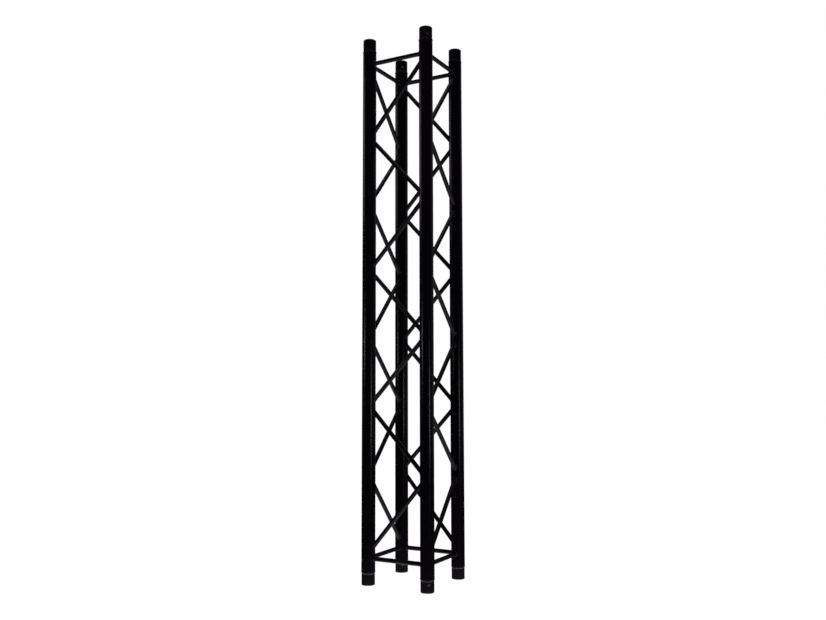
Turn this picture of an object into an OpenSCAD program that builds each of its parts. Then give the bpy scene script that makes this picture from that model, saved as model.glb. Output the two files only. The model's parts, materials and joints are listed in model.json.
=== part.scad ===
// Square box truss section: four main tubes held apart by welded bracing, with a
// pinned coupler receiver in each tube end. It stands on end, with its base at Z = 0
// and the centres of its tubes at the corners of a square around the Z axis.

/* [Section] */
// Length of the section, over the faces of its receivers
section_length = 2000; // [1500:10:3000]
// Distance between the centres of neighbouring main tubes
tube_spacing = 239; // [200:1:320]

/* [Main tubes] */
// Outer diameter of a main tube
tube_od = 50; // [42:0.5:60]
// Wall of a main tube
tube_wall = 2; // [1.6:0.1:3]

/* [Bracing] */
// Outer diameter of a brace tube
brace_od = 16; // [12:0.1:20]
// Wall of a brace tube
brace_wall = 2; // [1.2:0.1:2.5]
// Distance from the section's end to the centres of its straight braces
end_frame_inset = 92; // [80:1:110]
// Distance along a main tube from the straight braces to the first diagonal
diagonal_drop = 13; // [10:1:40]
// Number of diagonals on a side, odd so that they end on the next main tube
diagonal_count = 7; // [3:2:7]
// Extra height that the first and the last diagonal of a side cover
end_diagonal_extra = 27; // [0:1:50]
// Distance that two diagonals which meet run past each other at the tube's centre
diagonal_cross = 7; // [0:1:16]
// How far the diagonals sit above the middle of the section
diagonal_lift = 4.5; // [-6:0.5:6]

/* [Coupler receivers] */
// How much smaller a receiver's neck is than a main tube, on the diameter
neck_step = 2; // [1:0.5:3]
// Length of the neck, which stands out of the main tube
neck_length = 46; // [42:0.5:60]
// Length of the shank, which sits inside the main tube
shank_length = 30; // [20:1:45]
// Clearance around the shank, on the radius
shank_clearance = 0.15; // [0.05:0.05:0.4]
// Chamfer around a receiver's outer edges
rim_chamfer = 1.2; // [0.4:0.1:2]
// Diameter of the tapered socket at its mouth
socket_mouth_d = 33; // [28:0.5:36]
// Diameter of the tapered socket at its inner end
socket_inner_d = 27; // [22:0.5:28]
// Chamfer around the socket's mouth
socket_lead_in = 1; // [0.4:0.1:2]
// Diameter of the hole for the coupler's cross pin
pin_hole_d = 12; // [8:0.1:14.5]
// Distance from a receiver's face to the centre of its pin hole
pin_hole_inset = 28; // [22:0.5:32]

/* [Welds] */
// Width of the weld around a receiver, along the main tube
ring_weld_width = 4; // [3:0.1:6]
// Height of that weld above the main tube
ring_weld_height = 0.9; // [0.4:0.1:1.4]
// Width of the weld around a brace, out from the brace
brace_weld_width = 2.5; // [1.5:0.1:3]
// Height of that weld above the main tube
brace_weld_height = 2; // [1:0.1:3]

/* [Hidden] */
$fn = 96;
// Length added to a cutting tool so that it runs clear of what it cuts
cut_margin = 1;
tube_r = tube_od / 2;
neck_r = tube_r - neck_step / 2;
shank_r = tube_r - tube_wall - shank_clearance;
receiver_length = neck_length + shank_length;
corner = tube_spacing / 2;
tube_coat = "#1b181c";
receiver_coat = "#262328";
weld_coat = "#2c292e";

// Corners and sides run clockwise seen from above. Side n joins corner n to corner n + 1.
CORNERS = ["front_right", "front_left", "back_left", "back_right"];
SIDES = ["front", "left", "back", "right"];
ENDS = ["bottom", "top"];
diagonals = [0 : diagonal_count - 1];

function main_tube_name(c) = str("main_tube_", CORNERS[c]);
function receiver_name(e, c) = str("receiver_", ENDS[e], "_", CORNERS[c]);
function straight_brace_name(e, s) = str("straight_brace_", ENDS[e], "_", SIDES[s]);
function diagonal_name(s, k) = str("diagonal_brace_", SIDES[s], "_", k + 1);
function receiver_welds_name(e) = str("receiver_welds_", ENDS[e]);
function brace_welds_name(c) = str("brace_welds_", CORNERS[c]);

// Diagonals meet the main tubes' centres at stations, numbered from the top. The
// stations lie alternately on a side's first corner (even) and second corner (odd).
diagonal_inset = end_frame_inset + diagonal_drop;
station_pitch = (section_length - 2 * diagonal_inset - 2 * end_diagonal_extra) / diagonal_count;
function station_z(n) = diagonal_lift + (
    n == 0 ? section_length - diagonal_inset :
    n == diagonal_count ? diagonal_inset :
    section_length - diagonal_inset - end_diagonal_extra - n * station_pitch);
// Height of the upper and of the lower end of diagonal k, at the tubes' centres
function upper_z(k) = station_z(k) + (k > 0 ? diagonal_cross / 2 : 0);
function lower_z(k) = station_z(k + 1) - (k < diagonal_count - 1 ? diagonal_cross / 2 : 0);
// Height of diagonal k at its side's first corner and at its second corner
function first_z(k) = k % 2 == 0 ? upper_z(k) : lower_z(k);
function second_z(k) = k % 2 == 0 ? lower_z(k) : upper_z(k);
function straight_z(e) = e == 0 ? end_frame_inset : section_length - end_frame_inset;

// Places a child that is drawn for the front side on side s
module on_side(s) {
    rotate([0, 0, -90 * s]) children();
}

// Places a child that is drawn around the Z axis on the centre of main tube c
module on_corner(c) {
    on_side(c) translate([corner, -corner, 0]) children();
}

// Places a child that is drawn for the bottom end on end e
module on_end(e) {
    translate([0, 0, e * section_length]) mirror([0, 0, e]) children();
}

// A rod in the front side's plane, from the first corner to the second
module rod(z_first, z_second, d, margin = 0) {
    run = norm([tube_spacing, z_second - z_first]);
    translate([corner, -corner, z_first])
        rotate([0, atan2(-tube_spacing, z_second - z_first), 0])
            translate([0, 0, -margin])
                cylinder(d = d, h = run + 2 * margin);
}

// The solid cylinders that the front side's braces are coped to
module cope_tools() {
    for (c = [0, 1])
        on_corner(c) cylinder(d = tube_od, h = section_length);
}

// A hollow brace on the front side, its ends coped to the main tubes
module brace(z_first, z_second) {
    color(tube_coat)
        difference() {
            rod(z_first, z_second, brace_od);
            rod(z_first, z_second, brace_od - 2 * brace_wall, cut_margin);
            cope_tools();
        }
}

// The weld around one end of a brace, a collar that lies on the main tube at side
// corner c, 0 for the side's first corner and 1 for its second
module brace_weld(c, z_first, z_second) {
    difference() {
        intersection() {
            rod(z_first, z_second, brace_od + 2 * brace_weld_width);
            on_corner(c) cylinder(r = tube_r + brace_weld_height, h = section_length);
        }
        rod(z_first, z_second, brace_od, cut_margin);
        on_corner(c) cylinder(d = tube_od, h = section_length);
    }
}

module main_tube(c) {
    color(tube_coat)
        on_corner(c)
            translate([0, 0, neck_length])
                difference() {
                    cylinder(d = tube_od, h = section_length - 2 * neck_length);
                    translate([0, 0, -cut_margin])
                        cylinder(r = tube_r - tube_wall,
                                 h = section_length - 2 * neck_length + 2 * cut_margin);
                }
}

module receiver(e, c) {
    mouth_r = socket_mouth_d / 2;
    color(receiver_coat)
        on_end(e) on_corner(c)
            difference() {
                rotate_extrude()
                    polygon([
                        [mouth_r + socket_lead_in, 0],
                        [neck_r - rim_chamfer, 0],
                        [neck_r, rim_chamfer],
                        [neck_r, neck_length],
                        [shank_r, neck_length],
                        [shank_r, receiver_length - rim_chamfer],
                        [shank_r - rim_chamfer, receiver_length],
                        [socket_inner_d / 2, receiver_length],
                        [mouth_r, socket_lead_in]
                    ]);
                pin_hole();
            }
}

// The cross pin's hole, through both walls of a receiver, along the section's diagonal
module pin_hole() {
    translate([0, 0, pin_hole_inset])
        rotate([0, 0, -45])
            rotate([0, 90, 0])
                cylinder(d = pin_hole_d, h = tube_od, center = true);
}

module straight_brace(e, s) {
    on_side(s) brace(straight_z(e), straight_z(e));
}

module diagonal_brace(s, k) {
    on_side(s) brace(first_z(k), second_z(k));
}

// The round bead that joins each receiver at end e to its main tube
module receiver_welds(e) {
    half_width = ring_weld_width / 2;
    bead_r = (pow(ring_weld_height, 2) + pow(half_width, 2)) / (2 * ring_weld_height);
    color(weld_coat)
        for (c = [0 : 3])
            on_end(e) on_corner(c)
                translate([0, 0, neck_length])
                    rotate_extrude()
                        difference() {
                            translate([tube_r + ring_weld_height - bead_r, 0])
                                circle(r = bead_r);
                            square([tube_r, 2 * bead_r]);
                            translate([0, -2 * bead_r])
                                square([neck_r, 2 * bead_r]);
                        }
}

// The welds around every brace end that meets main tube c: on the side that starts
// there and on the side that ends there
module brace_welds(c) {
    color(weld_coat) {
        for (at = [0, 1], e = [0, 1])
            on_side(c - at) brace_weld(at, straight_z(e), straight_z(e));
        for (at = [0, 1], k = diagonals)
            on_side(c - at) brace_weld(at, first_z(k), second_z(k));
    }
}

for (c = [0 : 3])
    main_tube(c);
for (e = [0, 1], c = [0 : 3])
    receiver(e, c);
for (e = [0, 1], s = [0 : 3])
    straight_brace(e, s);
for (s = [0 : 3], k = diagonals)
    diagonal_brace(s, k);
for (e = [0, 1])
    receiver_welds(e);
for (c = [0 : 3])
    brace_welds(c);
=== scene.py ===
# A welded box truss section in black powder coat: its looks, built around the CAD frame.
# Lengths are in metres. +Z runs up along the section, and its front side faces -Y.
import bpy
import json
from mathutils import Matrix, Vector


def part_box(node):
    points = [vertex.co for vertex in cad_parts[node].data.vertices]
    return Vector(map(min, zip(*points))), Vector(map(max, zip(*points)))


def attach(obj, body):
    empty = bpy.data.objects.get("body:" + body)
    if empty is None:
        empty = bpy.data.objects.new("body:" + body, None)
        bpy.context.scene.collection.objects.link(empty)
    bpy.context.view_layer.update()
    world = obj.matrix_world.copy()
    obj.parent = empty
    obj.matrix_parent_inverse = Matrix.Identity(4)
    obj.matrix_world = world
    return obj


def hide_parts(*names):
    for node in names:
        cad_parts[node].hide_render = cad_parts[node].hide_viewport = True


bl_info = {
    "name": "Box Truss Section",
    "version": (1, 0, 0),
    "blender": (4, 5, 0),
    "location": "View3D > Sidebar > Truss",
    "description": "Builds a welded, powder-coated box truss section and its studio",
    "category": "Object",
}

import json
import math
import random

import bmesh
import bpy
from bpy.props import FloatProperty, IntProperty, PointerProperty, StringProperty
from mathutils import Matrix, Vector

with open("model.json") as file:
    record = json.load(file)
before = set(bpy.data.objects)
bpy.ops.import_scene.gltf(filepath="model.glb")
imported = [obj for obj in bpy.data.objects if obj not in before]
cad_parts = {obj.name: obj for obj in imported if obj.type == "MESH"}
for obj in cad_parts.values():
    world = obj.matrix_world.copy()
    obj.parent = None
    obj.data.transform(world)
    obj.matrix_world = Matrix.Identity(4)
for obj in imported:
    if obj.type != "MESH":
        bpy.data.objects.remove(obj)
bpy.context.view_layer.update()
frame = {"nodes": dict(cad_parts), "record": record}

# Corners and sides run clockwise seen from above. Side n joins corner n to corner n + 1.
CORNERS = ("front_right", "front_left", "back_left", "back_right")
SIDES = ("front", "left", "back", "right")
ENDS = ("bottom", "top")
DIAGONALS_PER_SIDE = sum(1 for name in frame["nodes"] if name.startswith("diagonal_brace_front_"))


def middle_and_size(node):
    """The middle and the size of a CAD node's box."""
    low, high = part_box(node)
    return (low + high) / 2, high - low


# What the frame says about the section
TUBE_CENTRES = [middle_and_size(f"main_tube_{corner}")[0] for corner in CORNERS]
TUBE_R = middle_and_size("main_tube_front_right")[1].x / 2
TUBE_LOW, TUBE_HIGH = (corner.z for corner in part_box("main_tube_front_right"))
HALF_SPACING = (TUBE_CENTRES[0].x - TUBE_CENTRES[1].x) / 2
NECK_R = middle_and_size("receiver_bottom_front_right")[1].x / 2
RECEIVER_LENGTH = middle_and_size("receiver_bottom_front_right")[1].z
SECTION_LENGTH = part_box("receiver_top_front_right")[1].z
BRACE_R = middle_and_size("straight_brace_bottom_front")[1].z / 2
MOUNTS = {mount["name"]: mount for mount in frame["record"]["mounts"]}
PIN_HOLE = MOUNTS["pin_hole_outer_bottom_front_right"]
PIN_HOLE_R = PIN_HOLE["dims"]["r_mm"] / 1000
PIN_HOLE_Z = PIN_HOLE["pos_m"][2]
PIN_HOLE_AXIS = Vector(PIN_HOLE["axis"])

# Points round a main tube, a receiver and a brace. All are fine enough to look round close up.
TUBE_POINTS = 128
RECEIVER_POINTS = 144
BRACE_POINTS = 56
# Rows of faces up a receiver's neck. Rows close together keep its shading even by the pin hole.
NECK_ROWS = 16
# Points along one ripple of a weld bead
RIPPLE_POINTS = 6
# Rows of points across a bead, from one toe to the other
BEAD_ROWS = 7
# Steps in which the saddle round a brace's end is followed
SADDLE_STEPS = 720
# A face that turns more than this from its neighbour keeps a sharp edge
SHARP_ANGLE = math.radians(32)

# How far a bead's width wanders, as a share of it, for each of its slow waves
BEAD_SWAY = 0.06
# The least and the most depth of a valley between ripples, as shares of the nominal depth
VALLEY_DEPTHS = (0.7, 1.15)
# How far a ripple's toes trail behind its middle, in ripples
RIPPLE_BOW = 1.1
# The swell where a bead closes on itself: its height in ripple depths and its length in ripples
STOP_HEIGHT = 1.3
STOP_LENGTH = 1.6

# Sizes in the finishes, in millimetres, and depths of the coat's unevenness, in metres
FILM_DRIFT_MM = 70
HAZE_MM = 14
# Real grit is near 0.2 mm. It is drawn coarser so that it shows
GRIT_MM = 0.6
CHIP_MM = 5
STAIN_MM = 9
MOTTLE_MM = 30
SAG_DEPTH = 0.00012
PEEL_DEPTH = 0.00003
GRIT_DEPTH = 0.00001
TOOL_RING_DEPTH = 0.00002
# Tool feed is near 0.2 mm a turn. At this scale the rings are 5 mm apart, so that they show
TOOL_RING_SCALE = 62.5
# The most that dust covers, on a surface that faces straight up
DUST_COVER = 0.10

# Wear at the section's ends: whole up to the first distance, and gone at the second
RIM_WORN, RIM_CLEAN = 0.0018, 0.0036
# A painted highlight on each lower neck: a band of bare metal colour that stands in for a bright line
# of reflected floor light. Its height, half its width, where it ends, and how strong it is
HIGHLIGHT_RING_Z = 0.0405
HIGHLIGHT_RING_CORE, HIGHLIGHT_RING_EDGE = 0.0006, 0.0012
HIGHLIGHT_RING_STRENGTH = 0.85
# Wear, or the painted highlight ring, and noise together show metal from the first value, and nothing
# but metal at the second
CHIP_START, CHIP_FULL = 0.98, 1.06
# Rubbed aluminium is dulled by its oxide, so it is only part metal to the eye
RUBBED_METALLIC = 0.55
RUBBED_ROUGHNESS = 0.4


class TrussSizes(bpy.types.PropertyGroup):
    """Sizes that the frame's boxes don't give."""

    tube_wall: FloatProperty(
        name="Tube Wall", description="Wall of a main tube", default=0.002, unit="LENGTH")
    brace_wall: FloatProperty(
        name="Brace Wall", description="Wall of a brace tube", default=0.002, unit="LENGTH")
    shank_clearance: FloatProperty(
        name="Shank Clearance", description="Gap round a receiver's shank, on the radius",
        default=0.00015, unit="LENGTH")
    socket_mouth_r: FloatProperty(
        name="Socket Mouth Radius", description="Radius of the tapered socket at its mouth",
        default=0.0165, unit="LENGTH")
    socket_inner_r: FloatProperty(
        name="Socket Inner Radius", description="Radius of the tapered socket at its inner end",
        default=0.0135, unit="LENGTH")
    socket_lead_in: FloatProperty(
        name="Socket Lead-in", description="Chamfer round the socket's mouth",
        default=0.001, unit="LENGTH")
    rim_chamfer: FloatProperty(
        name="Rim Chamfer", description="Chamfer round a receiver's outer edges",
        default=0.0012, unit="LENGTH")
    hole_countersink: FloatProperty(
        name="Hole Countersink", description="Break on the edge of the cross pin's hole",
        default=0.0006, unit="LENGTH")


class TrussWelds(bpy.types.PropertyGroup):
    """The shape of the weld beads."""

    ring_width: FloatProperty(
        name="Ring Weld Width", description="Width of the bead round a receiver, along the tube",
        default=0.004, unit="LENGTH")
    ring_height: FloatProperty(
        name="Ring Weld Height", description="Height of that bead above the tube",
        default=0.0009, unit="LENGTH")
    fillet_leg: FloatProperty(
        name="Fillet Leg", description="Width of the weld at a brace, along each of its two faces",
        default=0.0032, unit="LENGTH")
    fillet_crown: FloatProperty(
        name="Fillet Crown", description="How far a fillet bulges past flat",
        default=0.0004, unit="LENGTH")
    ripple_pitch: FloatProperty(
        name="Ripple Pitch", description="Distance between ripples along a bead",
        default=0.0021, unit="LENGTH")
    ripple_depth: FloatProperty(
        name="Ripple Depth", description="Depth of the valleys between ripples",
        default=0.00028, unit="LENGTH")
    hand: IntProperty(
        name="Hand", description="Seed for where each bead starts and how it wanders", default=7)


class TrussFinish(bpy.types.PropertyGroup):
    """Colours of the finish, as sRGB hex."""

    coat: StringProperty(
        name="Coat", description="The powder coat's colour", default="#0F0813")
    coat_thin: StringProperty(
        name="Thin Coat", description="Its colour where it lies thinner", default="#170E1A")
    coat_receiver: StringProperty(
        name="Receiver Coat", description="Its colour on the machined receivers", default="#1F1923")
    gloss_tint: StringProperty(
        name="Gloss Tint", description="The faint cast of its reflections", default="#F4E6F6")
    dust: StringProperty(
        name="Dust", description="Settled dust on what faces up", default="#3A373A")
    bare: StringProperty(
        name="Bare Metal", description="Machined aluminium under the coat", default="#B9B8B6")


class TrussStage(bpy.types.PropertyGroup):
    """Camera and light."""

    camera_azimuth: FloatProperty(
        name="Camera Azimuth", description="Angle round the section, from its front to its right",
        default=math.radians(29.09), subtype="ANGLE")
    camera_distance: FloatProperty(
        name="Camera Distance", description="Distance from the section's axis",
        default=3.119, unit="LENGTH")
    camera_height: FloatProperty(
        name="Camera Height", description="Height above the floor", default=0.704, unit="LENGTH")
    camera_pitch: FloatProperty(
        name="Camera Pitch", description="How far the camera looks up",
        default=math.radians(5.155), subtype="ANGLE")
    camera_yaw: FloatProperty(
        name="Camera Yaw", description="How far the camera looks left of the section's axis",
        default=math.radians(0.027), subtype="ANGLE")
    camera_roll: FloatProperty(
        name="Camera Roll", description="How far the camera leans left",
        default=math.radians(0.102), subtype="ANGLE")
    lens: FloatProperty(
        name="Lens", description="Focal length on a 36 mm frame", default=36.69, unit="CAMERA")
    floor_colour: StringProperty(
        name="Floor Colour", description="The opal floor's colour", default="#F2F2F2")
    floor_body: StringProperty(
        name="Floor Body", description="The opal sheet's colour by reflected light", default="#8E8E8E")
    floor_glow: FloatProperty(
        name="Floor Glow", description="How strongly the floor is lit from below", default=1.15)
    # A painted pool of light: floor glow that only the section's light sees, brightest within
    # floor_pool of its foot
    painted_pool_strength: FloatProperty(
        name="Floor Bounce", description="How much of that reaches the section", default=0.8)
    floor_pool: FloatProperty(
        name="Floor Pool", description="Radius of the brightest light from below", default=0.2,
        unit="LENGTH")


# ---------------------------------------------------------------- meshes

def to_linear(colour):
    """A linear colour, with alpha, from an sRGB hex string."""
    parts = [int(colour[i : i + 2], 16) / 255 for i in (1, 3, 5)]
    return [p / 12.92 if p <= 0.04045 else ((p + 0.055) / 1.055) ** 2.4 for p in parts] + [1.0]


def add_shell(shells, rings):
    """Adds a closed shell: each ring joins the next, and the last joins the first."""
    points, faces = shells
    base, count, around = len(points), len(rings), len(rings[0])
    points.extend(point for ring in rings for point in ring)
    for i in range(count):
        here, there = base + i * around, base + (i + 1) % count * around
        for k in range(around):
            m = (k + 1) % around
            faces.append((here + k, here + m, there + m, there + k))


def shells_to_mesh(name, shells):
    """A mesh of closed shells, its faces turned outward and smooth up to SHARP_ANGLE."""
    mesh = bpy.data.meshes.new(name)
    mesh.from_pydata(shells[0], [], shells[1])
    return tidy_mesh(mesh)


def tidy_mesh(mesh):
    """Turns a closed mesh's faces outward and shades it smooth up to SHARP_ANGLE."""
    work = bmesh.new()
    work.from_mesh(mesh)
    bmesh.ops.recalc_face_normals(work, faces=work.faces)
    work.to_mesh(mesh)
    work.free()
    mesh.shade_smooth()
    mesh.set_sharp_from_angle(angle=SHARP_ANGLE)
    return mesh


def circle_angles(count):
    """This many angles, spread evenly round a circle."""
    return [2 * math.pi * i / count for i in range(count)]


def turned_rings(profile, count, place=Matrix.Identity(4)):
    """Rings of a shape turned on the Z axis from a closed profile of (radius, height) points."""
    return [[place @ Vector((r * math.cos(a), r * math.sin(a), z)) for a in circle_angles(count)]
            for r, z in profile]


def at_corner(corner, end):
    """The move that takes a shape made round the Z axis, for the bottom front right corner, to
    any corner of either end."""
    centre = TUBE_CENTRES[corner]
    turn = Matrix.Rotation(-math.pi / 2 * corner, 4, "Z")
    flip = Matrix.Diagonal((1, 1, -1, 1)) if end else Matrix.Identity(4)
    return Matrix.Translation((centre.x, centre.y, SECTION_LENGTH * end)) @ turn @ flip


def stand_for(piece, node):
    """Hides the CAD node that a finished piece stands for, and puts the piece on the section's one
    body.
    """
    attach(piece, "root")
    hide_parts(node)


def make_piece(name, mesh, materials, node):
    """A piece of the section from its finished mesh and materials."""
    piece = bpy.data.objects.new(name, mesh)
    bpy.context.scene.collection.objects.link(piece)
    for material in materials:
        mesh.materials.append(material)
    stand_for(piece, node)
    return piece


# ---------------------------------------------------------------- main tubes and braces

def main_tube_mesh(name, corner, sizes):
    """A main tube with slightly broken edges, under the ring welds at its ends."""
    bore = TUBE_R - sizes.tube_wall
    edge = sizes.tube_wall / 6
    profile = [
        (bore, TUBE_LOW), (TUBE_R - edge, TUBE_LOW), (TUBE_R, TUBE_LOW + edge),
        (TUBE_R, TUBE_HIGH - edge), (TUBE_R - edge, TUBE_HIGH), (bore, TUBE_HIGH),
    ]
    centre = TUBE_CENTRES[corner]
    shells = ([], [])
    add_shell(shells, turned_rings(profile, TUBE_POINTS, Matrix.Translation((centre.x, centre.y, 0))))
    return shells_to_mesh(name, shells)


def brace_line(side, node, lean):
    """The two points where a brace's centreline meets its main tubes' centrelines, from the
    CAD node's box. lean is 1 if it falls from the side's first corner, -1 if it rises, and 0
    if it is straight."""
    middle, size = middle_and_size(node)
    first, second = TUBE_CENTRES[side], TUBE_CENTRES[(side + 1) % 4]
    # Half the box's height is reach * slope + BRACE_R * sqrt(1 + slope ** 2)
    reach, half_height = HALF_SPACING - TUBE_R, size.z / 2
    root = math.sqrt(half_height ** 2 + reach ** 2 - BRACE_R ** 2)
    slope = (reach * half_height - BRACE_R * root) / (reach ** 2 - BRACE_R ** 2)
    rise = lean * slope * HALF_SPACING
    return (Vector((first.x, first.y, middle.z + rise)),
            Vector((second.x, second.y, middle.z - rise)))


def brace_lines():
    """Every brace's node, its side, its centreline and a name for its piece."""
    lines = []
    for s, side in enumerate(SIDES):
        for end in ENDS:
            node = f"straight_brace_{end}_{side}"
            lines.append((node, s, brace_line(s, node, 0), f"frame_brace_{end}_{side}"))
        for number in range(1, DIAGONALS_PER_SIDE + 1):
            node = f"diagonal_brace_{side}_{number}"
            lean = 1 if number % 2 else -1
            lines.append((node, s, brace_line(s, node, lean), f"zigzag_brace_{side}_{number}"))
    return lines


def brace_axes(first, second):
    """A brace's direction and the two directions across it, in its side's plane and out of it."""
    along = (second - first).normalized()
    out = along.cross(Vector((0, 0, 1))).normalized()
    return along, out.cross(along), out


def cope_point(tube_centre, start, along, offset):
    """Where a line that runs along a brace, at an offset from its centreline, comes out of the
    main tube that the brace starts in."""
    flat = Vector((start.x + offset.x - tube_centre.x, start.y + offset.y - tube_centre.y))
    run = Vector((along.x, along.y))
    b = flat.dot(run)
    t = (-b + math.sqrt(b * b - run.length_squared * (flat.length_squared - TUBE_R ** 2)))
    return start + offset + along * (t / run.length_squared)


def brace_mesh(name, side, line, wall):
    """A brace tube, both its ends coped to the main tubes."""
    first, second = line
    along, across, out = brace_axes(first, second)
    ends = ((TUBE_CENTRES[side], first, along),
            (TUBE_CENTRES[(side + 1) % 4], second, -along))
    rings = []
    for (centre, start, way), radius in ((ends[0], BRACE_R), (ends[1], BRACE_R),
                                         (ends[1], BRACE_R - wall), (ends[0], BRACE_R - wall)):
        rings.append([
            cope_point(centre, start, way, (across * math.cos(a) + out * math.sin(a)) * radius)
            for a in circle_angles(BRACE_POINTS)])
    shells = ([], [])
    add_shell(shells, rings)
    return shells_to_mesh(name, shells)


# ---------------------------------------------------------------- receivers

def receiver_profile(sizes):
    """A receiver's closed outline: neck, shank and tapered socket, from its face at height 0."""
    shank_r = TUBE_R - sizes.tube_wall - sizes.shank_clearance
    mouth, inner, rim = sizes.socket_mouth_r, sizes.socket_inner_r, sizes.rim_chamfer
    neck = [(NECK_R, rim + (TUBE_LOW - rim) * i / NECK_ROWS) for i in range(NECK_ROWS + 1)]
    return [
        (mouth + sizes.socket_lead_in, 0), (NECK_R - rim, 0), *neck,
        (shank_r, TUBE_LOW), (shank_r, RECEIVER_LENGTH - rim),
        (shank_r - rim, RECEIVER_LENGTH), (inner, RECEIVER_LENGTH),
        (mouth, sizes.socket_lead_in),
    ]


def pin_drill(sizes):
    """The shape that a cross pin's hole takes out: a rod that flares where it leaves the neck."""
    flare_from = NECK_R - sizes.hole_countersink
    # Well past the neck on both sides
    end = NECK_R * 1.3
    profile = [(PIN_HOLE_R + end - flare_from, -end), (PIN_HOLE_R, -flare_from),
               (PIN_HOLE_R, flare_from), (PIN_HOLE_R + end - flare_from, end)]
    turn = PIN_HOLE_AXIS.to_track_quat("Z", "Y").to_matrix().to_4x4()
    place = Matrix.Translation((0, 0, PIN_HOLE_Z)) @ turn
    rings = turned_rings(profile, BRACE_POINTS, place)
    points = [point for ring in rings for point in ring]
    faces = [(i * BRACE_POINTS + k, i * BRACE_POINTS + (k + 1) % BRACE_POINTS,
              (i + 1) * BRACE_POINTS + (k + 1) % BRACE_POINTS, (i + 1) * BRACE_POINTS + k)
             for i in range(len(rings) - 1) for k in range(BRACE_POINTS)]
    faces += [tuple(range(BRACE_POINTS))[::-1],
              tuple(range((len(rings) - 1) * BRACE_POINTS, len(rings) * BRACE_POINTS))]
    mesh = bpy.data.meshes.new("pin_drill")
    mesh.from_pydata(points, [], faces)
    return tidy_mesh(mesh)


def receiver_mesh(name, sizes):
    """A receiver round the Z axis with its cross hole drilled. Its socket and its hole are
    material 1, bare metal, and the rest is material 0, coated."""
    shells = ([], [])
    add_shell(shells, turned_rings(receiver_profile(sizes), RECEIVER_POINTS))
    blank = bpy.data.objects.new("receiver_blank", shells_to_mesh("receiver_blank", shells))
    drill = bpy.data.objects.new("pin_drill", pin_drill(sizes))
    for tool in (blank, drill):
        bpy.context.scene.collection.objects.link(tool)
    cut = blank.modifiers.new("cross_hole", "BOOLEAN")
    cut.operation, cut.solver, cut.object = "DIFFERENCE", "EXACT", drill
    graph = bpy.context.evaluated_depsgraph_get()
    mesh = bpy.data.meshes.new_from_object(blank.evaluated_get(graph))
    mesh.name = name
    for tool in (blank, drill):
        bpy.data.objects.remove(tool)
    tidy_mesh(mesh)
    hole_margin = 1.02
    for face in mesh.polygons:
        middle = face.center
        from_hole = middle - Vector((0, 0, PIN_HOLE_Z))
        from_hole -= PIN_HOLE_AXIS * from_hole.dot(PIN_HOLE_AXIS)
        in_socket = Vector((middle.x, middle.y)).length < sizes.socket_mouth_r + sizes.socket_lead_in
        in_hole = from_hole.length < PIN_HOLE_R * hole_margin
        face.material_index = 1 if in_socket or in_hole else 0
    return mesh


# ---------------------------------------------------------------- weld beads

class Bead:
    """How one weld bead wanders along its length: its ripples, its width and its stop."""

    def __init__(self, welds, length, dice):
        self.count = max(8, round(length / welds.ripple_pitch))
        self.depth = welds.ripple_depth
        self.start = dice.random()
        self.sway = [(dice.uniform(-BEAD_SWAY, BEAD_SWAY), dice.random(), turns)
                     for turns in (1, 2, 3, 5)]
        self.jitter = [dice.uniform(*VALLEY_DEPTHS) for _ in range(self.count)]

    def width(self, along):
        """The bead's width at a share of its length, as a share of its nominal width."""
        return 1 + sum(size * math.sin(2 * math.pi * (turns * along + turn))
                       for size, turn, turns in self.sway)

    def lift(self, along, across):
        """How far the surface stands off the smooth bead, at shares of its length and width."""
        # Each ripple trails behind the puddle, so it bows back towards the toes
        bow = RIPPLE_BOW * (2 * across - 1) ** 2
        ripple = (along * self.count + bow) % self.count
        valley = 1 - abs(math.sin(math.pi * ripple))
        rise = -self.depth * self.jitter[int(ripple) % self.count] * valley ** 1.5
        # A small swell where the bead closes on itself
        off = (along - self.start + 0.5) % 1 - 0.5
        swell = self.depth * STOP_HEIGHT * math.exp(-((off * self.count / STOP_LENGTH) ** 2))
        return (rise + swell) * math.sin(math.pi * across) ** 0.5


def ring_weld_rings(welds, dice, place):
    """The bead round a receiver's neck, where it meets the main tube."""
    half_width, height = welds.ring_width / 2, welds.ring_height
    bow_r = (height ** 2 + half_width ** 2) / (2 * height)
    bow_centre = TUBE_R + height - bow_r
    neck_toe = math.asin(-math.sqrt(bow_r ** 2 - (NECK_R - bow_centre) ** 2) / bow_r)
    tube_toe = math.asin(half_width / bow_r)
    bead = Bead(welds, 2 * math.pi * TUBE_R, dice)
    rings = []
    for i in range(bead.count * RIPPLE_POINTS):
        along = i / (bead.count * RIPPLE_POINTS)
        angle, width = 2 * math.pi * along, bead.width(along)
        section = [(NECK_R - welds.ring_height, TUBE_LOW)]
        for row in range(BEAD_ROWS):
            across = row / (BEAD_ROWS - 1)
            turn = (neck_toe + (tube_toe - neck_toe) * across) * width
            r = bow_r + bead.lift(along, across)
            reach = bow_centre + r * math.cos(turn)
            under = NECK_R if row < BEAD_ROWS / 2 else TUBE_R
            section.append((max(reach, under - welds.ripple_depth), TUBE_LOW + r * math.sin(turn)))
        rings.append([place @ Vector((r * math.cos(angle), r * math.sin(angle), z))
                      for r, z in section])
    return rings


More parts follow.
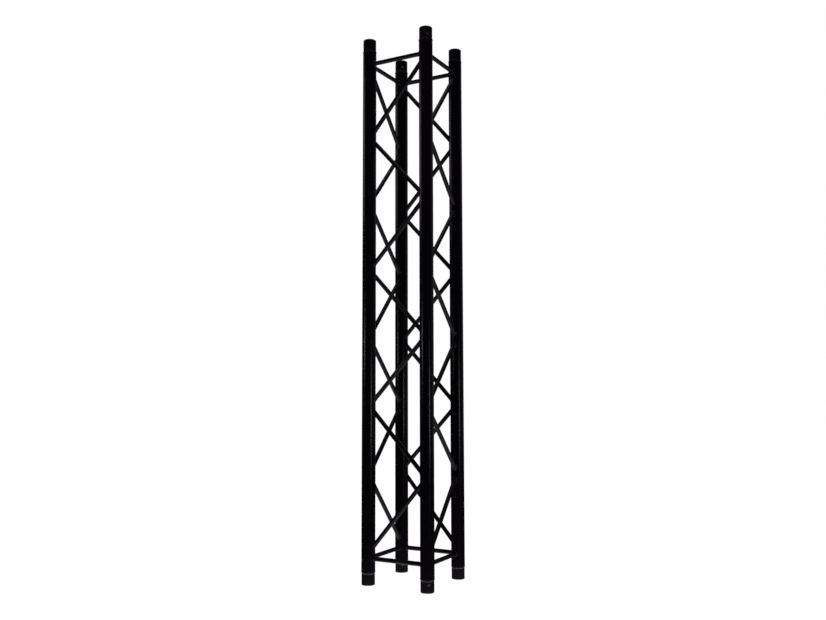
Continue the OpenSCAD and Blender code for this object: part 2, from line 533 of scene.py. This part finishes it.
def fillet_rings(welds, tube_centre, start, along, across, out, dice):
    """The fillet round a brace's end, along the saddle where it meets the main tube."""
    points, offsets = [], []
    for a in circle_angles(SADDLE_STEPS):
        offset = across * math.cos(a) + out * math.sin(a)
        offsets.append(offset)
        points.append(cope_point(tube_centre, start, along, offset * BRACE_R))
    travelled = [0.0]
    for here, there in zip(points, points[1:] + points[:1]):
        travelled.append(travelled[-1] + (there - here).length)
    bead = Bead(welds, travelled[-1], dice)
    root_depth = welds.fillet_leg / 4
    rings, step = [], 0
    for i in range(bead.count * RIPPLE_POINTS):
        share = i / (bead.count * RIPPLE_POINTS)
        while travelled[step + 1] <= share * travelled[-1]:
            step += 1
        root, offset = points[step], offsets[step]
        tangent = (points[(step + 1) % SADDLE_STEPS] - points[step - 1]).normalized()
        from_tube = Vector((root.x - tube_centre.x, root.y - tube_centre.y, 0)).normalized()
        away = from_tube.cross(tangent)
        away *= 1 if away.dot(offset) > 0 else -1
        leg = welds.fillet_leg * bead.width(share)
        brace_toe = root + along * leg
        tube_toe = root + away * leg
        flat = Vector((tube_toe.x - tube_centre.x, tube_toe.y - tube_centre.y, 0)).normalized() * TUBE_R
        tube_toe = Vector((tube_centre.x + flat.x, tube_centre.y + flat.y, tube_toe.z))
        facing = (brace_toe + tube_toe - 2 * root).normalized()
        ring = [root - (from_tube + offset) * root_depth]
        for row in range(BEAD_ROWS):
            q = row / (BEAD_ROWS - 1)
            crown = welds.fillet_crown * 4 * q * (1 - q) + bead.lift(share, q)
            ring.append(brace_toe.lerp(tube_toe, q) + facing * crown)
        rings.append(ring)
    return rings


# ---------------------------------------------------------------- materials

def add(tree, kind, settings=None, inputs=None):
    """Adds a node, makes its settings, and sets or links its inputs."""
    made = tree.nodes.new(kind)
    for name, value in (settings or {}).items():
        setattr(made, name, value)
    for name, value in (inputs or {}).items():
        if isinstance(value, bpy.types.NodeSocket):
            tree.links.new(value, made.inputs[name])
        else:
            made.inputs[name].default_value = value
    return made


def new_material(name):
    """A new material and its empty node tree."""
    material = bpy.data.materials.new(name)
    material.use_nodes = True
    material.node_tree.nodes.clear()
    return material, material.node_tree


def per_mm(size):
    """A noise scale, per metre, whose features are this many millimetres across."""
    return 1000 / size


def powder_coat(name, finish, peel_mm, roughness, rim_wear=0.0, coat=None):
    """Polyester powder, sprayed and baked on aluminium: a satin black skin with fine orange
    peel, thinner and a shade lighter in clouds, with grit in it and settled dust on top.
    rim_wear is how much of it has rubbed off at the section's two ends. Where coat is given,
    it is the one colour of the whole film."""
    material, tree = new_material(name)
    place = add(tree, "ShaderNodeTexCoord").outputs["Object"]
    # Film thickness drifts over a hand's width
    clouds = add(tree, "ShaderNodeTexNoise", None,
                 {"Vector": place, "Scale": per_mm(FILM_DRIFT_MM), "Detail": 3.0,
                  "Roughness": 0.55}).outputs[0]
    # Handling haze, in patches the size of a fingertip
    haze = add(tree, "ShaderNodeTexNoise", None,
               {"Vector": place, "Scale": per_mm(HAZE_MM), "Detail": 4.0, "Roughness": 0.65}).outputs[0]
    peel = add(tree, "ShaderNodeTexNoise", None,
               {"Vector": place, "Scale": per_mm(peel_mm), "Detail": 2.0}).outputs[0]
    grit = add(tree, "ShaderNodeTexVoronoi", None,
               {"Vector": place, "Scale": per_mm(GRIT_MM)}).outputs[0]
    film = add(tree, "ShaderNodeMix", {"data_type": "RGBA"},
               {0: clouds, 6: to_linear(coat or finish.coat),
                7: to_linear(coat or finish.coat_thin)}).outputs[2]
    # Dust settles on what faces up, unevenly
    normal = add(tree, "ShaderNodeNewGeometry").outputs["Normal"]
    up = add(tree, "ShaderNodeSeparateXYZ", None, {0: normal}).outputs["Z"]
    settled = add(tree, "ShaderNodeMapRange", None,
                  {0: up, "From Min": 0.25, "From Max": 1.0,
                   "To Min": 0.0, "To Max": DUST_COVER}).outputs[0]
    patchy = add(tree, "ShaderNodeMath", {"operation": "MULTIPLY"}, {0: settled, 1: haze}).outputs[0]
    colour = add(tree, "ShaderNodeMix", {"data_type": "RGBA"},
                 {0: patchy, 6: film, 7: to_linear(finish.dust)}).outputs[2]
    gloss = add(tree, "ShaderNodeMapRange", None,
                {0: haze, "From Min": 0.3, "From Max": 0.7,
                 "To Min": roughness - 0.05, "To Max": roughness + 0.07}).outputs[0]
    sag = add(tree, "ShaderNodeBump", None,
              {"Strength": 1.0, "Distance": SAG_DEPTH, "Height": clouds}).outputs[0]
    skin = add(tree, "ShaderNodeBump", None,
               {"Strength": 0.8, "Distance": PEEL_DEPTH, "Height": peel, "Normal": sag}).outputs[0]
    speck = add(tree, "ShaderNodeBump", None,
                {"Strength": 0.5, "Distance": GRIT_DEPTH, "Height": grit, "Normal": skin}).outputs[0]
    metallic = 0.0
    if rim_wear:
        # Wear at the rims, and the painted highlight ring on the lower necks
        colour, gloss, metallic = rim_wear_and_highlight_ring(tree, finish, place, colour, gloss, rim_wear)
    surface = add(tree, "ShaderNodeBsdfPrincipled", None,
                  {"Base Color": colour, "Roughness": gloss, "Metallic": metallic,
                   "IOR": 1.5, "Specular Tint": to_linear(finish.gloss_tint), "Normal": speck})
    add(tree, "ShaderNodeOutputMaterial", None, {"Surface": surface.outputs[0]})
    return material


def rim_wear_and_highlight_ring(tree, finish, place, colour, gloss, amount):
    """Mixes bare metal into a coat: on the rims, where other sections have rubbed, and as a painted
    highlight, a thin ring of bare metal colour on each lower neck only, standing in for a bright line
    of reflected floor light."""
    height = add(tree, "ShaderNodeSeparateXYZ", None, {0: place}).outputs["Z"]
    from_top = add(tree, "ShaderNodeMath", {"operation": "SUBTRACT"},
                   {0: SECTION_LENGTH, 1: height}).outputs[0]
    from_end = add(tree, "ShaderNodeMath", {"operation": "MINIMUM"},
                   {0: height, 1: from_top}).outputs[0]
    rim = add(tree, "ShaderNodeMapRange", None,
              {0: from_end, "From Min": RIM_WORN, "From Max": RIM_CLEAN,
               "To Min": amount, "To Max": 0.0}).outputs[0]
    # A painted highlight: a thin bright band of bare metal colour at a fixed height near the bottom, so
    # only the lower necks get it
    above = add(tree, "ShaderNodeMath", {"operation": "SUBTRACT"},
                {0: height, 1: HIGHLIGHT_RING_Z}).outputs[0]
    gap = add(tree, "ShaderNodeMath", {"operation": "ABSOLUTE"}, {0: above}).outputs[0]
    ring = add(tree, "ShaderNodeMapRange", None,
               {0: gap, "From Min": HIGHLIGHT_RING_CORE, "From Max": HIGHLIGHT_RING_EDGE,
                "To Min": HIGHLIGHT_RING_STRENGTH, "To Max": 0.0}).outputs[0]
    near = add(tree, "ShaderNodeMath", {"operation": "MAXIMUM"}, {0: rim, 1: ring}).outputs[0]
    # Rubs and knocks are a few millimetres long
    chips = add(tree, "ShaderNodeTexNoise", None,
                {"Vector": place, "Scale": per_mm(CHIP_MM), "Detail": 6.0, "Roughness": 0.7}).outputs[0]
    both = add(tree, "ShaderNodeMath", {"operation": "ADD"}, {0: near, 1: chips}).outputs[0]
    worn = add(tree, "ShaderNodeMapRange", None,
               {0: both, "From Min": CHIP_START, "From Max": CHIP_FULL,
                "To Min": 0.0, "To Max": 1.0}).outputs[0]
    colour = add(tree, "ShaderNodeMix", {"data_type": "RGBA"},
                 {0: worn, 6: colour, 7: to_linear(finish.bare)}).outputs[2]
    gloss = add(tree, "ShaderNodeMix", None, {0: worn, 2: gloss, 3: RUBBED_ROUGHNESS}).outputs[0]
    metallic = add(tree, "ShaderNodeMath", {"operation": "MULTIPLY"},
                   {0: worn, 1: RUBBED_METALLIC}).outputs[0]
    return colour, gloss, metallic


def machined_aluminium(name, finish):
    """Turned aluminium, left bare where couplers and pins fit: grey metal with fine tool
    rings and a little black overspray."""
    material, tree = new_material(name)
    place = add(tree, "ShaderNodeTexCoord").outputs["Object"]
    rings = add(tree, "ShaderNodeTexWave", {"wave_type": "BANDS", "bands_direction": "Z"},
                {"Vector": place, "Scale": TOOL_RING_SCALE, "Distortion": 0.6,
                 "Detail": 1.0}).outputs[0]
    stain = add(tree, "ShaderNodeTexNoise", None,
                {"Vector": place, "Scale": per_mm(STAIN_MM), "Detail": 5.0,
                 "Roughness": 0.6}).outputs[0]
    overspray = add(tree, "ShaderNodeMapRange", None,
                    {0: stain, "From Min": 0.45, "From Max": 0.75,
                     "To Min": 0.0, "To Max": 0.55}).outputs[0]
    colour = add(tree, "ShaderNodeMix", {"data_type": "RGBA"},
                 {0: overspray, 6: to_linear(finish.bare), 7: to_linear(finish.dust)}).outputs[2]
    gloss = add(tree, "ShaderNodeMapRange", None,
                {0: stain, "From Min": 0.3, "From Max": 0.7, "To Min": 0.26, "To Max": 0.42}).outputs[0]
    cut = add(tree, "ShaderNodeBump", None,
              {"Strength": 0.6, "Distance": TOOL_RING_DEPTH, "Height": rings}).outputs[0]
    surface = add(tree, "ShaderNodeBsdfPrincipled", None,
                  {"Base Color": colour, "Metallic": 1.0, "Roughness": gloss, "Normal": cut})
    add(tree, "ShaderNodeOutputMaterial", None, {"Surface": surface.outputs[0]})
    return material


def opal_floor(name, stage):
    """Opal acrylic: a pale matt floor with a faint mottle. For the camera it glows evenly bright; for
    all other light it glows only as a painted pool of light round the section's foot. It looks bright,
    but gives the section only a little light from underneath."""
    material, tree = new_material(name)
    place = add(tree, "ShaderNodeTexCoord").outputs["Object"]
    mottle = add(tree, "ShaderNodeTexNoise", None,
                 {"Vector": place, "Scale": per_mm(MOTTLE_MM), "Detail": 4.0}).outputs[0]
    gloss = add(tree, "ShaderNodeMapRange", None,
                {0: mottle, "From Min": 0.3, "From Max": 0.7,
                 "To Min": 0.85, "To Max": 0.95}).outputs[0]
    # A painted pool of light: the floor's glow is brightest under the section and falls off with
    # distance from it
    fall_power = 2.2
    away = add(tree, "ShaderNodeVectorMath", {"operation": "LENGTH"}, {0: place}).outputs["Value"]
    spread = add(tree, "ShaderNodeMath", {"operation": "MAXIMUM"},
                 {0: away, 1: stage.floor_pool}).outputs[0]
    share = add(tree, "ShaderNodeMath", {"operation": "DIVIDE"},
                {0: stage.floor_pool, 1: spread}).outputs[0]
    fall = add(tree, "ShaderNodeMath", {"operation": "POWER"},
               {0: share, 1: fall_power}).outputs[0]
    painted_pool_glow = add(tree, "ShaderNodeMath", {"operation": "MULTIPLY"},
                 {0: fall, 1: stage.painted_pool_strength}).outputs[0]
    seen = add(tree, "ShaderNodeLightPath").outputs["Is Camera Ray"]
    glow = add(tree, "ShaderNodeMix", None, {0: seen, 2: painted_pool_glow, 3: stage.floor_glow}).outputs[0]
    surface = add(tree, "ShaderNodeBsdfPrincipled", None,
                  {"Base Color": to_linear(stage.floor_body), "Roughness": gloss,
                   "Specular IOR Level": 0.2, "Emission Color": to_linear(stage.floor_colour),
                   "Emission Strength": glow})
    add(tree, "ShaderNodeOutputMaterial", None, {"Surface": surface.outputs[0]})
    return material


def finish_named(name, make):
    """The material of this name, made on first use."""
    return bpy.data.materials.get(name) or make(name)


def tube_finish(finish):
    return finish_named("powder_coated_aluminium_tube",
                        lambda name: powder_coat(name, finish, 1.6, 0.21))


def brace_finish(finish):
    return finish_named("powder_coated_aluminium_brace",
                        lambda name: powder_coat(name, finish, 1.3, 0.23))


def receiver_finish(finish):
    return finish_named("powder_coated_turned_receiver",
                        lambda name: powder_coat(name, finish, 1.2, 0.22, rim_wear=0.78,
                                                 coat=finish.coat_receiver))


def weld_finish(finish):
    return finish_named("powder_coated_weld_bead",
                        lambda name: powder_coat(name, finish, 0.9, 0.21))


def bare_finish(finish):
    return finish_named("machined_aluminium_bare", lambda name: machined_aluminium(name, finish))


# ---------------------------------------------------------------- operators

class TRUSS_OT_main_tubes(bpy.types.Operator):
    """Build the four main tubes"""

    bl_idname = "truss.main_tubes"
    bl_label = "Main Tubes"

    def execute(self, context):
        coat = tube_finish(context.scene.truss_finish)
        for c, corner in enumerate(CORNERS):
            name = f"chord_tube_{corner}"
            mesh = main_tube_mesh(name, c, context.scene.truss_sizes)
            make_piece(name, mesh, [coat], f"main_tube_{corner}")
        return {"FINISHED"}


class TRUSS_OT_receivers(bpy.types.Operator):
    """Build the eight coupler receivers, with their sockets and pin holes"""

    bl_idname = "truss.receivers"
    bl_label = "Coupler Receivers"

    def execute(self, context):
        finish = context.scene.truss_finish
        pattern = receiver_mesh("receiver_pattern", context.scene.truss_sizes)
        for e, end in enumerate(ENDS):
            for c, corner in enumerate(CORNERS):
                mesh = pattern.copy()
                mesh.name = name = f"coupler_receiver_{end}_{corner}"
                mesh.transform(at_corner(c, e))
                tidy_mesh(mesh)
                make_piece(name, mesh, [receiver_finish(finish), bare_finish(finish)],
                           f"receiver_{end}_{corner}")
        bpy.data.meshes.remove(pattern)
        return {"FINISHED"}


class TRUSS_OT_braces(bpy.types.Operator):
    """Build the straight braces near the ends and the zigzag of diagonals on each side"""

    bl_idname = "truss.braces"
    bl_label = "Braces"

    def execute(self, context):
        coat = brace_finish(context.scene.truss_finish)
        for node, side, line, name in brace_lines():
            mesh = brace_mesh(name, side, line, context.scene.truss_sizes.brace_wall)
            make_piece(name, mesh, [coat], node)
        return {"FINISHED"}


class TRUSS_OT_receiver_welds(bpy.types.Operator):
    """Build the ring welds between the receivers and the main tubes"""

    bl_idname = "truss.receiver_welds"
    bl_label = "Receiver Welds"

    def execute(self, context):
        welds = context.scene.truss_welds
        coat = weld_finish(context.scene.truss_finish)
        dice = random.Random(welds.hand)
        for e, end in enumerate(ENDS):
            shells = ([], [])
            for c in range(len(CORNERS)):
                add_shell(shells, ring_weld_rings(welds, dice, at_corner(c, e)))
            name = f"ring_welds_{end}"
            make_piece(name, shells_to_mesh(name, shells), [coat],
                       f"receiver_welds_{end}")
        return {"FINISHED"}


class TRUSS_OT_brace_welds(bpy.types.Operator):
    """Build the fillet welds round both ends of every brace"""

    bl_idname = "truss.brace_welds"
    bl_label = "Brace Welds"

    def execute(self, context):
        welds = context.scene.truss_welds
        coat = weld_finish(context.scene.truss_finish)
        dice = random.Random(welds.hand + 1)
        shells = [([], []) for _ in CORNERS]
        for _, side, (first, second), _ in brace_lines():
            along, across, out = brace_axes(first, second)
            for corner, start, way in ((side, first, along), ((side + 1) % 4, second, -along)):
                rings = fillet_rings(welds, TUBE_CENTRES[corner], start, way, across, out, dice)
                add_shell(shells[corner], rings)
        for c, corner in enumerate(CORNERS):
            name = f"fillet_welds_{corner}"
            make_piece(name, shells_to_mesh(name, shells[c]), [coat],
                       f"brace_welds_{corner}")
        return {"FINISHED"}


class TRUSS_OT_studio(bpy.types.Operator):
    """Build the lit floor, the soft lights and the camera"""

    bl_idname = "truss.studio"
    bl_label = "Studio"

    def execute(self, context):
        stage = context.scene.truss_stage
        build_floor(stage)
        build_surroundings(context.scene)
        build_lights()
        build_camera(context.scene, stage)
        return {"FINISHED"}


def build_floor(stage):
    """A round pale floor with the section in its front half. Reflections don't show it, but
    the room instead."""
    floor_r, behind, points = 2.4, 1.2, 96
    mesh = bpy.data.meshes.new("opal_floor")
    mesh.from_pydata([(floor_r * math.cos(a), behind + floor_r * math.sin(a), 0)
                      for a in circle_angles(points)], [], [tuple(range(points))])
    floor = bpy.data.objects.new("opal_floor", mesh)
    floor.rotation_euler.z = stage.camera_azimuth
    bpy.context.scene.collection.objects.link(floor)
    mesh.materials.append(opal_floor("opal_acrylic_floor", stage))
    floor.visible_glossy = False


def build_surroundings(scene):
    """A white room that is bright to the eye, but dim in reflections except from low down."""
    # What reflections see near the horizon, low down and straight down
    level, low, down = 0.008, 0.68, 0.1
    world = bpy.data.worlds.new("studio_room")
    world.use_nodes = True
    tree = world.node_tree
    tree.nodes.clear()
    ray = add(tree, "ShaderNodeTexCoord").outputs["Generated"]
    rise = add(tree, "ShaderNodeSeparateXYZ", None, {0: ray}).outputs["Z"]
    dim = add(tree, "ShaderNodeMapRange", None,
              {0: rise, "From Min": -0.95, "From Max": -0.2,
               "To Min": low, "To Max": level}).outputs[0]
    shade = add(tree, "ShaderNodeMapRange", None,
                {0: rise, "From Min": -1.0, "From Max": -0.9,
                 "To Min": down, "To Max": low}).outputs[0]
    dim = add(tree, "ShaderNodeMath", {"operation": "MINIMUM"}, {0: dim, 1: shade}).outputs[0]
    seen = add(tree, "ShaderNodeLightPath").outputs["Is Camera Ray"]
    strength = add(tree, "ShaderNodeMix", None, {0: seen, 2: dim, 3: 1.0}).outputs[0]
    room = add(tree, "ShaderNodeBackground", None,
               {"Color": to_linear("#FFFFFF"), "Strength": strength})
    add(tree, "ShaderNodeOutputWorld", None, {"Surface": room.outputs[0]})
    scene.world = world
    scene.view_settings.view_transform = "Standard"


def build_lights():
    """Soft boxes: name, place, what it points at, width, height, power in watts."""
    boxes = (
        ("soft_box_overhead", (0.0, 0.0, 5.0), (0, 0, 0), 3.0, 3.0, 14),
        ("soft_box_left", (-1.5, -1.6, 0.96), (0, 0, 0.9), 0.25, 0.16, 1.05),
        ("soft_box_left_high", (-2.2, -0.8, 2.2), (0, 0, 1.0), 0.9, 0.9, 2.4),
        ("soft_box_right", (2.1, -0.7, 0.56), (0, 0, 0.6), 0.22, 0.45, 1.55),
        ("soft_box_back", (-1.0, 4.4, 2.1), (0, 0, 2.1), 5.0, 4.2, 12),
        ("soft_box_back_right", (2.9, 2.3, 1.6), (0, 0, 1.2), 2.6, 3.0, 2.4),
        ("soft_box_front", (0.9, -2.0, 4.3), (0, 0, 1.3), 2.4, 0.8, 3),
    )
    for name, place, aim, width, height, power in boxes:
        lamp = bpy.data.lights.new(name, "AREA")
        lamp.shape = "RECTANGLE"
        lamp.size, lamp.size_y, lamp.energy = width, height, power
        light = bpy.data.objects.new(name, lamp)
        light.location = place
        light.rotation_euler = (Vector(aim) - Vector(place)).to_track_quat("-Z", "Y").to_euler()
        light.visible_camera = False
        bpy.context.scene.collection.objects.link(light)


def build_camera(scene, stage):
    """A low camera, looking a little up at the section."""
    azimuth, heading = stage.camera_azimuth, stage.camera_azimuth + stage.camera_yaw
    pitch, roll = stage.camera_pitch, stage.camera_roll
    ahead = Vector((-math.sin(heading) * math.cos(pitch), math.cos(heading) * math.cos(pitch),
                    math.sin(pitch)))
    right = ahead.cross(Vector((0, 0, 1))).normalized()
    up = right.cross(ahead)
    right, up = (right * math.cos(roll) - up * math.sin(roll),
                 right * math.sin(roll) + up * math.cos(roll))
    lens = bpy.data.cameras.new("studio_camera")
    sensor_mm, far_limit = 36.0, 60
    lens.sensor_width, lens.lens, lens.clip_end = sensor_mm, stage.lens, far_limit
    camera = bpy.data.objects.new("studio_camera", lens)
    turn = Matrix((right, up, -ahead)).transposed().to_4x4()
    place = Vector((stage.camera_distance * math.sin(azimuth),
                    -stage.camera_distance * math.cos(azimuth), stage.camera_height))
    camera.matrix_world = Matrix.Translation(place) @ turn
    scene.collection.objects.link(camera)
    bpy.context.scene.camera = camera


class TRUSS_PT_section(bpy.types.Panel):
    """Lists the builders and the sizes they use"""

    bl_idname = "TRUSS_PT_section"
    bl_label = "Box Truss Section"
    bl_space_type = "VIEW_3D"
    bl_region_type = "UI"
    bl_category = "Truss"

    def draw(self, context):
        for builder in BUILDERS:
            self.layout.operator(builder.bl_idname)
        for name in GROUPS:
            group = getattr(context.scene, name)
            box = self.layout.box()
            for prop in group.bl_rna.properties:
                if not prop.is_readonly and prop.identifier != "name":
                    box.prop(group, prop.identifier)


GROUPS = {"truss_sizes": TrussSizes, "truss_welds": TrussWelds,
          "truss_finish": TrussFinish, "truss_stage": TrussStage}
BUILDERS = (TRUSS_OT_studio, TRUSS_OT_main_tubes, TRUSS_OT_receivers, TRUSS_OT_braces,
            TRUSS_OT_receiver_welds, TRUSS_OT_brace_welds)


def register():
    for kind in (*GROUPS.values(), *BUILDERS, TRUSS_PT_section):
        bpy.utils.register_class(kind)
    for name, group in GROUPS.items():
        setattr(bpy.types.Scene, name, PointerProperty(type=group))


def unregister():
    for name in GROUPS:
        delattr(bpy.types.Scene, name)
    for kind in (TRUSS_PT_section, *reversed(BUILDERS), *reversed(GROUPS.values())):
        bpy.utils.unregister_class(kind)


def main():
    """Builds everything."""
    register()
    bpy.ops.truss.studio()
    bpy.ops.truss.main_tubes()
    bpy.ops.truss.receivers()
    bpy.ops.truss.braces()
    bpy.ops.truss.receiver_welds()
    bpy.ops.truss.brace_welds()


if __name__ == "__main__":
    main()
